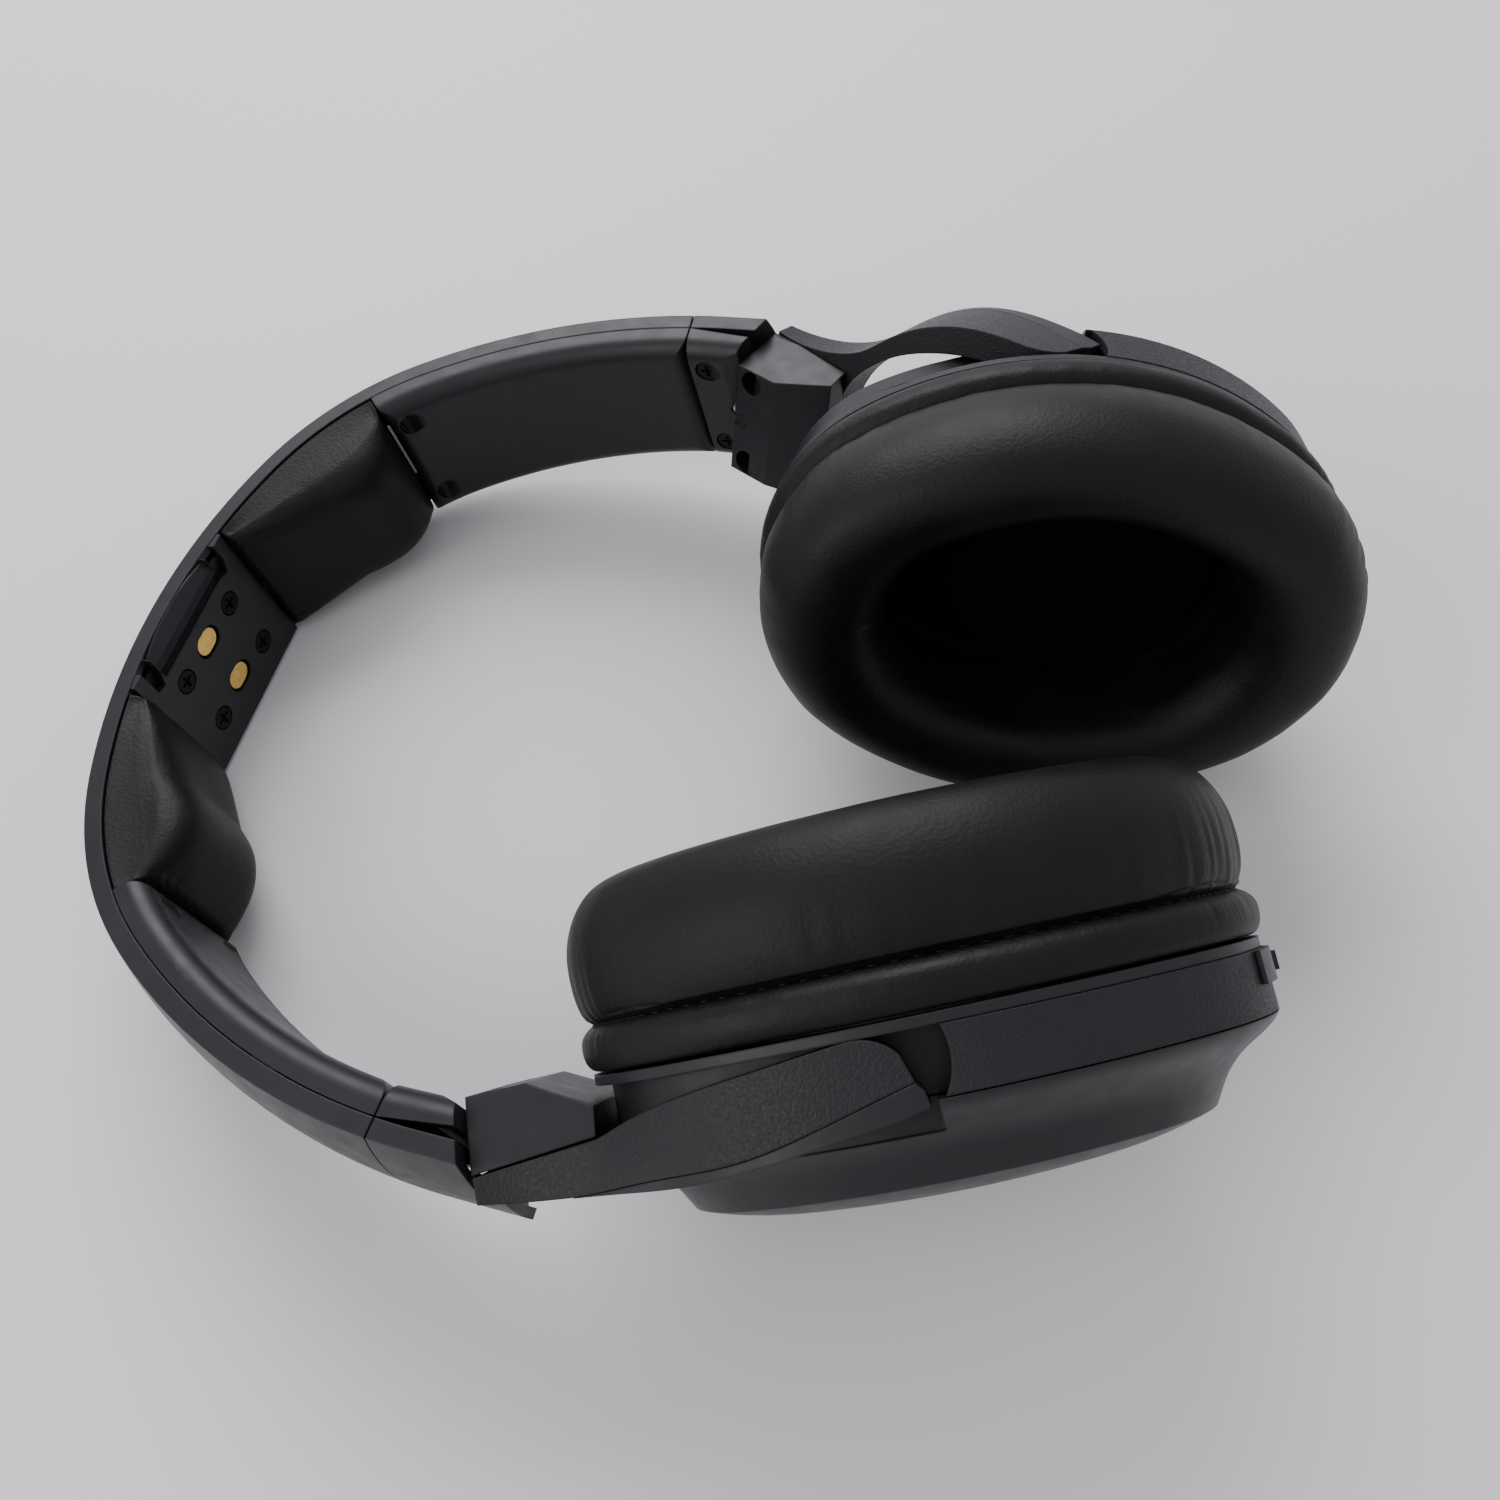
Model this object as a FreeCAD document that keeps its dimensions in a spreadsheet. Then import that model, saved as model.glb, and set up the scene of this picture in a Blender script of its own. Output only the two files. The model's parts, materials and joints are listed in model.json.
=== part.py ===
# Over ear headphones, lying on one side on a table.
#
# Design frame: X from the right cup to the left cup, Y up the wearer's head
# towards the crown of the headband, Z across the headband. The crown arc of
# the headband is centred near the origin. At the end everything is laid
# down: the design frame is turned about X until crown and cups touch Z = 0.
#
# Each side is a chain: headband > slider > yoke > cup. A yoke's own frame has
# its origin at the cup's tilt pivot, Y along the swivel axis and X outwards.
# A cup's own frame has the same origin and turns with the cup.

import FreeCAD, Part
import math
import os

Vector = FreeCAD.Vector
Rotation = FreeCAD.Rotation
Placement = FreeCAD.Placement
X_AXIS = Vector(1, 0, 0)
Y_AXIS = Vector(0, 1, 0)
Z_AXIS = Vector(0, 0, 1)

SIZES = [
    # Headband arch, measured on the upper outer edge; angles from the crown.
    ("crown_rise", 97.1, "height of the outer edge at the crown"),
    ("crown_radius", 96.4, "radius of the crown arc"),
    ("crown_angle", 20.8, "end of the crown arc, degrees"),
    ("shoulder_radius", 55.7, "radius of the shoulder arc"),
    ("shoulder_angle", 57.3, "end of the shoulder arc, degrees"),
    ("side_radius", 107.7, "radius of the side arc"),
    ("band_width", 30.0, "width of the headband across Z"),
    ("band_crown", 2.5, "how far the outer face stands out at mid width"),
    ("strip_depth", 3.0, "depth of the outer cover's side strip"),
    ("parting_gap", 0.2, "gap at each parting line"),
    ("cover_depth", 8.5, "outer edge to the flat inner face"),
    ("band_wall", 1.6, "wall of the headband covers"),
    ("plate_angle", 10.6, "half angle of the contact plate, degrees"),
    ("plate_depth", 5.5, "outer edge to the contact plate's face"),
    ("pad_angle", 45.7, "angle where each pad ends, degrees"),
    ("pad_depth", 18.0, "outer edge to the crest of a pad"),
    ("joint_angle", 86.4, "angle of the slider's parting line, degrees"),
    ("screw_head", 2.1, "radius of the screw heads"),
    # Slider.
    ("strip_width", 16.0, "width of the steel slider strip"),
    ("strip_thickness", 1.2, "thickness of the steel slider strip"),
    ("strip_length", 27.0, "length of the steel slider strip"),
    ("slide_lean", 3.5, "outward lean of the slide direction, degrees"),
    ("tongue_width", 12.0, "width of the slider's outer tongue"),
    ("tongue_length", 12.4, "length of the tongue's straight run"),
    # Swivel and tilt.
    ("pivot_x", 46.2, "tilt pivot from the middle plane"),
    ("pivot_y", -46.3, "tilt pivot's height in the design frame"),
    ("swivel_lean", 25.2, "inward lean of the swivel axis, degrees"),
    ("swivel_length", 58.3, "tilt pivot to the slider's end face"),
    ("swivel_left", 22.5, "left yoke turned from flat, degrees"),
    ("swivel_right", 21.2, "right yoke turned from flat, degrees"),
    ("tilt_left", -15.7, "left cup tilted from upright, degrees"),
    ("tilt_right", 24.6, "right cup tilted from upright, degrees"),
    ("post_radius", 2.8, "radius of the swivel post"),
    ("running_gap", 0.3, "gap between parts that turn or slide"),
    ("lie_angle", 9.1, "headphones tipped back onto the table, degrees"),
    # Fork.
    ("arm_outer", 35.2, "middle plane to an arm's outer face at the pivot"),
    ("arm_inner", 30.2, "middle plane to an arm's inner face at the pivot"),
    ("tip_reach", 8.2, "pivot to the corner of an arm's tip"),
    ("hanger_top", 57.6, "pivot to the hanger's top face"),
    ("hanger_half", 13.6, "half width of the hanger at its top"),
    ("pin_radius", 1.9, "radius of a pivot pin"),
    # Cup, lengths along X are distances outwards from the tilt pivot.
    ("cup_drop", 6.5, "cup centre below the tilt pivot"),
    ("cup_half_length", 47.6, "half length of the ring and outer cover"),
    ("cup_half_width", 35.7, "half width of the ring and outer cover"),
    ("cup_end_radius", 30.0, "end radius of the cup's oval"),
    ("seam_x", -11.1, "seam between cushion and skirt"),
    ("cushion_thickness", 20.5, "cushion from its seam to its front"),
    ("opening_half_length", 28.5, "half length of the ear opening"),
    ("opening_half_width", 19.8, "half width of the ear opening"),
    ("baffle_back", -3.2, "back of the baffle plate"),
    ("baffle_thickness", 1.4, "thickness of the baffle plate"),
    ("ring_back", 5.2, "back edge of the housing ring"),
    ("core_half_length", 45.2, "half length of the housing core"),
    ("core_half_width", 29.5, "half width of the housing core"),
    ("shell_wall", 1.7, "wall of the cup's shells"),
    ("face_half_length", 36.8, "half length of the outer face"),
    ("face_half_width", 26.0, "half width of the outer face"),
    ("face_x", 15.9, "edge of the outer face"),
    ("face_dome", 3.8, "rise of the domed outer face"),
    ("driver_radius", 20.0, "radius of the driver's basket"),
    ("magnet_radius", 9.0, "radius of the driver's magnet"),
]

doc = FreeCAD.newDocument("Headphones")
sheet = doc.addObject("Spreadsheet::Sheet", "Sizes")
for row, (alias, value, note) in enumerate(SIZES, start=1):
    sheet.set(f"A{row}", note)
    sheet.set(f"B{row}", str(value))
    sheet.setAlias(f"B{row}", alias)
doc.recompute()

sub_parts = []


def size(alias):
    """The value that the spreadsheet holds for one driving dimension."""
    return float(getattr(sheet, alias))


# ---------------------------------------------------------------- frames

def swivel_frame(side):
    """From a yoke's own frame, turned to its stored angle, to the design frame."""
    flip = Placement() if side == "left" else Placement(Vector(), Rotation(Y_AXIS, 180))
    turn = size("swivel_left") if side == "left" else -size("swivel_right")
    at_pivot = Placement(Vector(size("pivot_x"), size("pivot_y"), 0), Rotation())
    lean = Placement(Vector(), Rotation(Z_AXIS, -size("swivel_lean")))
    swivel = Placement(Vector(), Rotation(Y_AXIS, turn))
    return flip * at_pivot * lean * swivel


def cup_frame(side):
    """From a cup's own frame, tilted to its stored angle, to the design frame."""
    tilt = size("swivel_lean") - size("tilt_" + side)
    return swivel_frame(side) * Placement(Vector(), Rotation(Z_AXIS, tilt))


def band_frame(side):
    """The design frame, turned round for the right-hand pieces."""
    return Placement() if side == "left" else Placement(Vector(), Rotation(Y_AXIS, 180))


def slide_direction():
    """Direction in which the left slider pulls out of the headband."""
    lean = math.radians(size("slide_lean"))
    return Vector(math.sin(lean), -math.cos(lean), 0)


# ---------------------------------------------------------------- sketches

def new_body(label, placement=None):
    """An empty body for one sub-part, listed for export under its label."""
    body = doc.addObject("PartDesign::Body", label)
    body.Label = label
    body.Placement = placement or Placement()
    sub_parts.append(body)
    return body


def sketch_on(body, role, edges, offset=None):
    """A sketch on one of the body's own planes, moved off it by an expression."""
    sketch = body.newObject("Sketcher::SketchObject", body.Name + "Sketch")
    plane = next(f for f in body.Origin.OriginFeatures if f.Role == role)
    sketch.AttachmentSupport = (plane, [""])
    sketch.MapMode = "FlatFace"
    if offset:
        sketch.setExpression("AttachmentOffset.Base.z", offset)
    sketch.addGeometry(edges, False)
    return sketch


def pad(body, edges, length, role="XY_Plane", offset=None, middle=True):
    """Add material: the outline drawn out by the length expression."""
    feature = body.newObject("PartDesign::Pad", body.Name + "Pad")
    feature.Profile = sketch_on(body, role, edges, offset)
    feature.SideType = "Symmetric" if middle else "One side"
    feature.setExpression("Length", length)
    return feature


def pocket(body, edges, length, role="XY_Plane", offset=None, middle=True):
    """Take material away on both sides of the sketch, or on its front side."""
    feature = body.newObject("PartDesign::Pocket", body.Name + "Pocket")
    feature.Profile = sketch_on(body, role, edges, offset)
    feature.SideType = "Symmetric" if middle else "One side"
    feature.Reversed = not middle
    feature.setExpression("Length", length)
    return feature


def drill(body, station, edges, depth):
    """Blind hole from a station whose +Z points out of the material."""
    sketch = body.newObject("Sketcher::SketchObject", body.Name + "Hole")
    sketch.Placement = body.Placement.inverse() * station
    sketch.addGeometry(edges, False)
    feature = body.newObject("PartDesign::Pocket", body.Name + "Pocket")
    feature.Profile = sketch
    feature.Length = depth
    return feature


def soften(body, radius, chosen):
    """Round the edges of the body's latest shape that the test picks."""
    doc.recompute()
    tip = body.Tip
    names = [f"Edge{i + 1}" for i, e in enumerate(tip.Shape.Edges) if chosen(e)]
    feature = body.newObject("PartDesign::Fillet", body.Name + "Fillet")
    feature.Base = (tip, names)
    feature.Radius = radius
    return feature


def loft(body, kind, sections, ruled=False):
    """Join ovals at several depths; each section is (offset expression, edges)."""
    sketches = [sketch_on(body, "YZ_Plane", edges, offset) for offset, edges in sections]
    feature = body.newObject("PartDesign::" + kind, body.Name + "Loft")
    feature.Profile = sketches[0]
    feature.Sections = sketches[1:]
    feature.Ruled = ruled
    return feature


def polygon(points):
    """Closed outline of straight edges through (x, y) points."""
    corners = [Vector(x, y, 0) for x, y in points]
    return [Part.LineSegment(p, q) for p, q in zip(corners, corners[1:] + corners[:1])]


def rectangle(x, y, width, height):
    """Outline of a rectangle centred on (x, y)."""
    w, h = width / 2, height / 2
    return polygon([(x - w, y - h), (x + w, y - h), (x + w, y + h), (x - w, y + h)])


def circle(x, y, radius):
    """Outline of one circle."""
    return [Part.Circle(Vector(x, y, 0), Z_AXIS, radius)]


def closed(points):
    """Outline through three-point arcs; every second point is a mid point."""
    spots = [Vector(x, y, 0) for x, y in points]
    spots.append(spots[0])
    return [Part.Arc(*spots[i:i + 3]) for i in range(0, len(spots) - 1, 2)]


def oval_points(half_length, half_width):
    """End and mid points of a half oval's tangent arcs, from -Z over +Y to +Z."""
    r = size("cup_end_radius") * min(half_width / size("cup_half_width"), 1.0)
    run = half_length - r
    big = (run ** 2 + half_width ** 2 - r ** 2) / (2 * (half_width - r))
    x = r * run / (big - r) + run
    y = r * (big - half_width) / (big - r)
    turn = math.atan2(x, y + big - half_width) / 2
    mid = (big * math.sin(turn), half_width - big + big * math.cos(turn))
    return [
        (0, -half_width),
        (mid[0], -mid[1]),
        (x, -y),
        (half_length, 0),
        (x, y),
        mid,
        (0, half_width),
    ]


def oval(half_length, half_width):
    """Four tangent arcs round the cup centre: long along the sketch's x."""
    half = oval_points(half_length, half_width)
    other = [(-x, -y) for x, y in half]
    c = -size("cup_drop")
    return closed([(c + x, y) for x, y in half[:-1] + other[:-1]])


def pill(x, y, length, width):
    """Round-ended slot outline, long along the sketch's x."""
    r = width / 2
    run = length / 2 - r
    left = Part.Arc(*[Vector(x - run - r * s, y + r * c, 0) for s, c in ((0, 1), (1, 0), (0, -1))])
    right = Part.Arc(*[Vector(x + run + r * s, y + r * c, 0) for s, c in ((0, -1), (1, 0), (0, 1))])
    low = Part.LineSegment(Vector(x - run, y - r, 0), Vector(x + run, y - r, 0))
    high = Part.LineSegment(Vector(x + run, y + r, 0), Vector(x - run, y + r, 0))
    return [left, low, right, high]


def spline(points):
    """One smooth curve through the points."""
    curve = Part.BSplineCurve()
    curve.interpolate([Vector(x, y, 0) for x, y in points])
    return curve


def outline(*runs):
    """Closed outline: each run of points is a smooth curve, joined by lines."""
    edges = []
    for run, following in zip(runs, runs[1:] + runs[:1]):
        if len(run) == 2:
            edges.append(Part.LineSegment(*[Vector(x, y, 0) for x, y in run]))
        elif len(run) > 2:
            edges.append(spline(run))
        if run[-1] != following[0]:
            ends = [Vector(x, y, 0) for x, y in (run[-1], following[0])]
            edges.append(Part.LineSegment(*ends))
    return edges


# ---------------------------------------------------------------- headband arch

def arch_point(depth, angle):
    """Point on the arch at a depth under the outer edge; angle from the crown."""
    turn = math.radians(abs(angle))
    crown_end = math.radians(size("crown_angle"))
    shoulder_end = math.radians(size("shoulder_angle"))
    radius = size("crown_radius")
    x, y = 0.0, size("crown_rise") - radius
    for end, next_radius in (
        (crown_end, size("shoulder_radius")),
        (shoulder_end, size("side_radius")),
    ):
        if turn > end:
            x += (radius - next_radius) * math.sin(end)
            y += (radius - next_radius) * math.cos(end)
            radius = next_radius
    x += (radius - depth) * math.sin(turn)
    y += (radius - depth) * math.cos(turn)
    return Vector(math.copysign(x, angle) if angle else 0.0, y, 0)


def arch_edges(depth, start, end):
    """Tangent arcs along the arch from one angle to another, in order."""
    low, high = min(start, end), max(start, end)
    breaks = [-size("shoulder_angle"), -size("crown_angle")]
    breaks += [size("crown_angle"), size("shoulder_angle")]
    stops = [low] + [b for b in breaks if low < b < high] + [high]
    arcs = []
    for a, b in zip(stops, stops[1:]):
        arcs.append((arch_point(depth, a), arch_point(depth, (a + b) / 2), arch_point(depth, b)))
    if start > end:
        arcs = [(c, b, a) for a, b, c in reversed(arcs)]
    return [Part.Arc(*arc) for arc in arcs]


def arch_outline(outer, inner, start, end):
    """Closed outline of a stretch of the arch between two depths."""
    return (
        arch_edges(outer, start, end)
        + [Part.LineSegment(arch_point(outer, end), arch_point(inner, end))]
        + arch_edges(inner, end, start)
        + [Part.LineSegment(arch_point(inner, start), arch_point(outer, start))]
    )


def sweep(body, section, path, angle):
    """Sweep a (depth, z) section along arcs that start at an angle of the arch."""
    turn = math.radians(angle)
    outward = Vector(math.sin(turn), math.cos(turn), 0)
    tangent = Vector(math.cos(turn), -math.sin(turn), 0)
    start = arch_point(0, angle)
    profile = body.newObject("Sketcher::SketchObject", body.Name + "Section")
    profile.Placement = Placement(start, Rotation(outward, Z_AXIS, tangent))
    profile.addGeometry(section, False)
    spine = body.newObject("Sketcher::SketchObject", body.Name + "Path")
    spine.addGeometry(path, False)
    feature = body.newObject("PartDesign::AdditivePipe", body.Name + "Sweep")
    feature.Profile = profile
    feature.Spine = (spine, [])
    return feature


def crowned_section():
    """Outer cover's section: crowned face, side strips, and a thin wall."""
    half = size("band_width") / 2
    crown = size("band_crown")
    wall = size("band_wall")
    deep = size("strip_depth")
    inner = half - wall
    corners = [Vector(0, half, 0), Vector(-deep, half, 0), Vector(-deep, inner, 0)]
    corners += [Vector(-wall, inner, 0)]
    mirror = [Vector(p.x, -p.y, 0) for p in reversed(corners)]
    lines = [Part.LineSegment(p, q) for p, q in zip(corners, corners[1:])]
    lines += [Part.LineSegment(p, q) for p, q in zip(mirror, mirror[1:])]
    inside = Part.Arc(corners[-1], Vector(crown - wall, 0, 0), mirror[0])
    outside = Part.Arc(mirror[-1], Vector(crown, 0, 0), corners[0])
    return [outside] + lines[:3] + [inside] + lines[3:]


def make_screws(label, frame, spots, reach=3.2):
    """Cross-head screws in one plane: the frame's +Z points out of the heads."""
    body = new_body(label, frame)
    head = size("screw_head")
    heads = sum([circle(x, y, head) for x, y in spots], [])
    shanks = sum([circle(x, y, head * 0.5) for x, y in spots], [])
    upper = body.newObject("PartDesign::Pad", label + "Heads")
    upper.Profile = sketch_on(body, "XY_Plane", heads)
    upper.Length = 0.9
    lower = body.newObject("PartDesign::Pad", label + "Shanks")
    lower.Profile = sketch_on(body, "XY_Plane", shanks)
    lower.Reversed = True
    lower.Length = reach
    for width, height in ((head * 1.3, 0.6), (0.6, head * 1.3)):
        slots = sum([rectangle(x, y, width, height) for x, y in spots], [])
        cross = body.newObject("PartDesign::Pocket", label + "Slot")
        cross.Profile = sketch_on(body, "XY_Plane", slots, "0.4")
        cross.Reversed = True
        cross.Length = 1


def face_station(depth, angle, z=0.0, sink=0.0):
    """Place on the inner side of the arch, +Z pointing at the head."""
    turn = math.radians(angle)
    inward = Vector(-math.sin(turn), -math.cos(turn), 0)
    point = arch_point(depth, angle) + Vector(0, 0, z) - inward * sink
    return Placement(point, Rotation(Z_AXIS.cross(inward), Z_AXIS, inward))


def plate_station(x=0.0, z=0.0, sink=0.0):
    """Place on the contact plate's face, +Z pointing at the head."""
    face_y = size("crown_rise") - size("plate_depth")
    return Placement(Vector(x, face_y + sink, z), Rotation(X_AXIS, 90))


# ---------------------------------------------------------------- headband pieces

CONTACTS = (4.7, -6.8)
PLATE_SCREWS = [(x, z) for x in (-8.8, 8.8) for z in (4.7, -8.1)]
COVER_SCREW_ANGLE = 51.0
COVER_SCREWS = (9.5, -9.5)


def make_outer_cover():
    body = new_body("headband_outer_cover")
    end = size("joint_angle")
    sweep(body, crowned_section(), arch_edges(0, -end, end), -end)


def make_inner_cover(side):
    body = new_body("headband_inner_cover_" + side, band_frame(side))
    start = size("pad_angle")
    end = size("joint_angle")
    top = size("strip_depth") + size("parting_gap")
    deep = size("cover_depth")
    pad(body, arch_outline(top, deep, start, end), "Sizes.band_width")
    half = size("band_width") / 2
    stops = [arch_point(deep, a) for a in (start, size("shoulder_angle"), end)]

    def inner_edge(edge):
        ends = [v.Point for v in edge.Vertexes]
        near = [min((Vector(p.x, p.y, 0) - q).Length for q in stops) < 0.01 for p in ends]
        return all(near) and all(abs(abs(p.z) - half) < 0.01 for p in ends)

    soften(body, 3.4, inner_edge)
    wall = size("band_wall")
    pocket(body, arch_outline(top - 1, deep - wall, start - 1, end + 1), f"{2 * (half - wall - 1)}")
    for z in COVER_SCREWS:
        for radius, depth in ((size("screw_head") + 0.3, 1.2), (size("screw_head") * 0.5 + 0.2, 4)):
            hole = face_station(size("cover_depth"), COVER_SCREW_ANGLE, z)
            drill(body, band_frame(side) * hole, circle(0, 0, radius), depth)
    sunk = face_station(size("cover_depth"), COVER_SCREW_ANGLE, 0, 1.1)
    frame = band_frame(side) * sunk * Placement(Vector(), Rotation(Z_AXIS, 90))
    make_screws("cover_screws_" + side, frame, [(z, 0) for z in COVER_SCREWS], 2.2)


def make_contact_plate():
    body = new_body("contact_plate")
    top = size("strip_depth") + size("parting_gap")
    angle = size("plate_angle") - 0.15
    face_y = size("crown_rise") - size("plate_depth")
    top_y = size("crown_rise") - top
    right = arch_point(top, angle)
    left = arch_point(top, -angle)
    low_right = Vector(right.x, face_y, 0)
    low_left = Vector(left.x, face_y, 0)
    corners = [(right, low_right), (low_right, low_left), (low_left, left)]
    edges = arch_edges(top, -angle, angle) + [Part.LineSegment(*pair) for pair in corners]
    pad(body, edges, "Sizes.band_width")
    half = size("band_width") / 2
    lip = [(face_y - 1, half - 5.4), (face_y + 0.9, half - 5.4), (face_y + 0.9, half - 4.6)]
    lip += [(face_y + 0.2, half - 3.6), (face_y + 0.6, half - 2.4), (top_y, half + 0.2)]
    lip += [(face_y - 1, half + 1)]
    pocket(body, polygon(lip), "22", "YZ_Plane")
    for x in (-12.6, 12.6):
        slot = polygon([(-1.5, 3.0), (1.5, 3.0), (1.5, -1.0), (0.4, -3.6), (-1.5, -3.2)])
        drill(body, plate_station(x, half - 2.5), slot, 1.7)
    for x, z in PLATE_SCREWS:
        drill(body, plate_station(x, z), circle(0, 0, size("screw_head") + 0.25), 1.0)
        drill(body, plate_station(x, z, 0.9), circle(0, 0, size("screw_head") * 0.5 + 0.1), 1.4)
    for z in CONTACTS:
        drill(body, plate_station(0, z), pill(0, 0, 6.6, 5.0), 1.3)


def make_contacts():
    body = new_body("charging_contacts", plate_station(0, 0, 1.2))
    spots = sum([pill(0, z, 5.4, 4.0) for z in CONTACTS], [])
    feature = body.newObject("PartDesign::Pad", "ContactPad")
    feature.Profile = sketch_on(body, "XY_Plane", spots)
    feature.Length = 0.8


def make_pad(side):
    body = new_body("headband_pad_" + side, band_frame(side))
    start = size("plate_angle") + 0.45
    end = size("pad_angle") - 0.4
    base = size("strip_depth") + size("running_gap")
    middle = (start + end) / 2
    crest = Part.Arc(
        arch_point(size("cover_depth"), end),
        arch_point(size("pad_depth"), middle),
        arch_point(size("cover_depth") - 1.5, start),
    )
    sides = [
        Part.LineSegment(arch_point(base, end), arch_point(size("cover_depth"), end)),
        Part.LineSegment(arch_point(size("cover_depth") - 1.5, start), arch_point(base, start)),
    ]
    edges = arch_edges(base, start, end) + [sides[0], crest, sides[1]]
    pad(body, edges, "Sizes.band_width - 1")


def make_spring():
    body = new_body("headband_spring")
    pad(body, arch_outline(2.0, 2.8, -69, 69), "Sizes.strip_width - 2")


def make_cable():
    body = new_body("headband_cable")
    start = "Sizes.strip_width / 2 + 1"
    pad(body, arch_outline(2.0, 2.8, -84, 84), "3", "XY_Plane", start, False)


# ---------------------------------------------------------------- slider pieces

def yoke_spot(b, a):
    """(b out, a along the swivel axis) of the flat left yoke, in the design frame."""
    lean = math.radians(size("swivel_lean"))
    x = size("pivot_x") + b * math.cos(lean) + a * math.sin(lean)
    y = size("pivot_y") - b * math.sin(lean) + a * math.cos(lean)
    return (x, y)


def make_slider_outer(side):
    body = new_body("slider_outer_cover_" + side, band_frame(side))
    start = size("joint_angle") + 0.15
    path = arch_edges(0, start, 90)
    bottom = path[-1].EndPoint
    path.append(Part.LineSegment(bottom, bottom - Vector(0, size("tongue_length"), 0)))
    sweep(body, crowned_section(), path, start)
    face = size("swivel_length")
    beyond = ((-20, face), (30, face), (30, face - 28.3), (-20, face - 28.3))
    below = polygon([yoke_spot(b, a) for b, a in beyond])
    pocket(body, below, "20", "XY_Plane", "Sizes.tongue_width / 2", False)
    pocket(body, below, "20", "XY_Plane", "-Sizes.tongue_width / 2 - 20", False)


def make_slider_inner(side):
    body = new_body("slider_inner_cover_" + side, band_frame(side))
    angle = size("joint_angle") + 0.15
    top = size("strip_depth") + size("parting_gap")
    end_a = size("swivel_length")
    outer_top = arch_point(top, angle)
    inner_top = arch_point(size("cover_depth"), angle)
    corners = [(outer_top.x, outer_top.y), (inner_top.x, inner_top.y)]
    corners += [(inner_top.x - 0.1, 10.0), yoke_spot(-0.6, end_a), yoke_spot(2.9, end_a)]
    pad(body, polygon(corners), "Sizes.band_width")

    def inner_edge(edge):
        box = edge.BoundBox
        rim = abs(box.ZMax) > size("band_width") / 2 - 0.1
        return box.ZLength < 0.01 and rim and box.XMax < inner_top.x + 0.05

    soften(body, 3.4, inner_edge)
    cavity = [(outer_top.x + 1, outer_top.y + 1), (inner_top.x + 1.8, inner_top.y + 1)]
    cavity += [(inner_top.x + 1.8, 10.8), yoke_spot(0.9, end_a + 1.6), yoke_spot(3.6, end_a + 1.6)]
    pocket(body, polygon(cavity), "Sizes.band_width - 5")
    for z in (-9.5, 9.5):
        for radius, depth in ((size("screw_head") + 0.3, 1.2), (size("screw_head") * 0.5 + 0.2, 4)):
            drill(body, slider_screw_station(side, z), circle(0, 0, radius), depth)
    bore = Placement(Vector(*yoke_spot(0, end_a), 0), Rotation(X_AXIS, 90))
    lean = Placement(Vector(), Rotation(Z_AXIS, -size("swivel_lean")))
    bore.Rotation = lean.Rotation.multiply(Rotation(X_AXIS, 90))
    drill(body, band_frame(side) * bore, circle(0, 0, size("post_radius") + 0.1), 4)


def slider_screw_station(side, z=0.0, sink=0.0):
    """Place on the slider's inner face, +Z pointing at the head."""
    x = arch_point(size("cover_depth"), size("joint_angle")).x - 0.05
    spot = Placement(Vector(x + sink, 13.2, z), Rotation(Y_AXIS, -90))
    return band_frame(side) * spot


def make_slider_screws(side):
    frame = slider_screw_station(side, 0, 1.1)
    make_screws("slider_screws_" + side, frame, [(-9.5, 0), (9.5, 0)], 2.2)


def make_slider_strip(side):
    foot = arch_point(6.0, size("joint_angle")) + slide_direction() * 5.0
    turn = Rotation(Z_AXIS, size("slide_lean"))
    body = new_body("slider_strip_" + side, band_frame(side) * Placement(foot, turn))
    half = size("strip_thickness") / 2
    run = size("strip_length") + 5.0
    edges = polygon([(-half, 0), (half, 0), (half, run), (-half, run)])
    pad(body, edges, "Sizes.strip_width")


def make_post(side):
    flat = Placement(Vector(size("pivot_x"), size("pivot_y"), 0), Rotation())
    lean = Placement(Vector(), Rotation(Z_AXIS, -size("swivel_lean")))
    body = new_body("swivel_post_" + side, band_frame(side) * flat * lean)
    r = size("post_radius")
    edges = polygon([(0, 47), (r + 0.7, 47), (r + 0.7, 49), (r, 49), (r, 61), (0, 61)])
    feature = body.newObject("PartDesign::Revolution", "PostTurn")
    feature.Profile = sketch_on(body, "XY_Plane", edges)
    feature.ReferenceAxis = (feature.Profile[0], ["V_Axis"])
    feature.Angle = 360


# ---------------------------------------------------------------- yoke pieces

def front_outline():
    """Fork seen along X, as (a, z): rounded arms joined by the neck."""
    wide = size("arm_outer")
    narrow = size("arm_inner")
    low = -size("tip_reach") - 2
    outer = [(57.4, 14.0), (46, 14.8), (38, 18), (30, 24.5), (22, 30)]
    outer += [(12, wide - 1.4), (2, wide), (low, wide + 0.2)]
    inner = [(2, narrow), (12, narrow - 1.2), (20, 26.3), (28, 22), (34, 17), (38, 12.5)]
    inner += [(40.5, 7), (41.2, 0)]
    arch = inner + [(a, -z) for a, z in reversed(inner[:-1])]
    return outline(
        outer,
        [(low, narrow), (2, narrow)],
        arch,
        [(2, -narrow), (low, -narrow)],
        [(a, -z) for a, z in reversed(outer)],
    )


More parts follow.
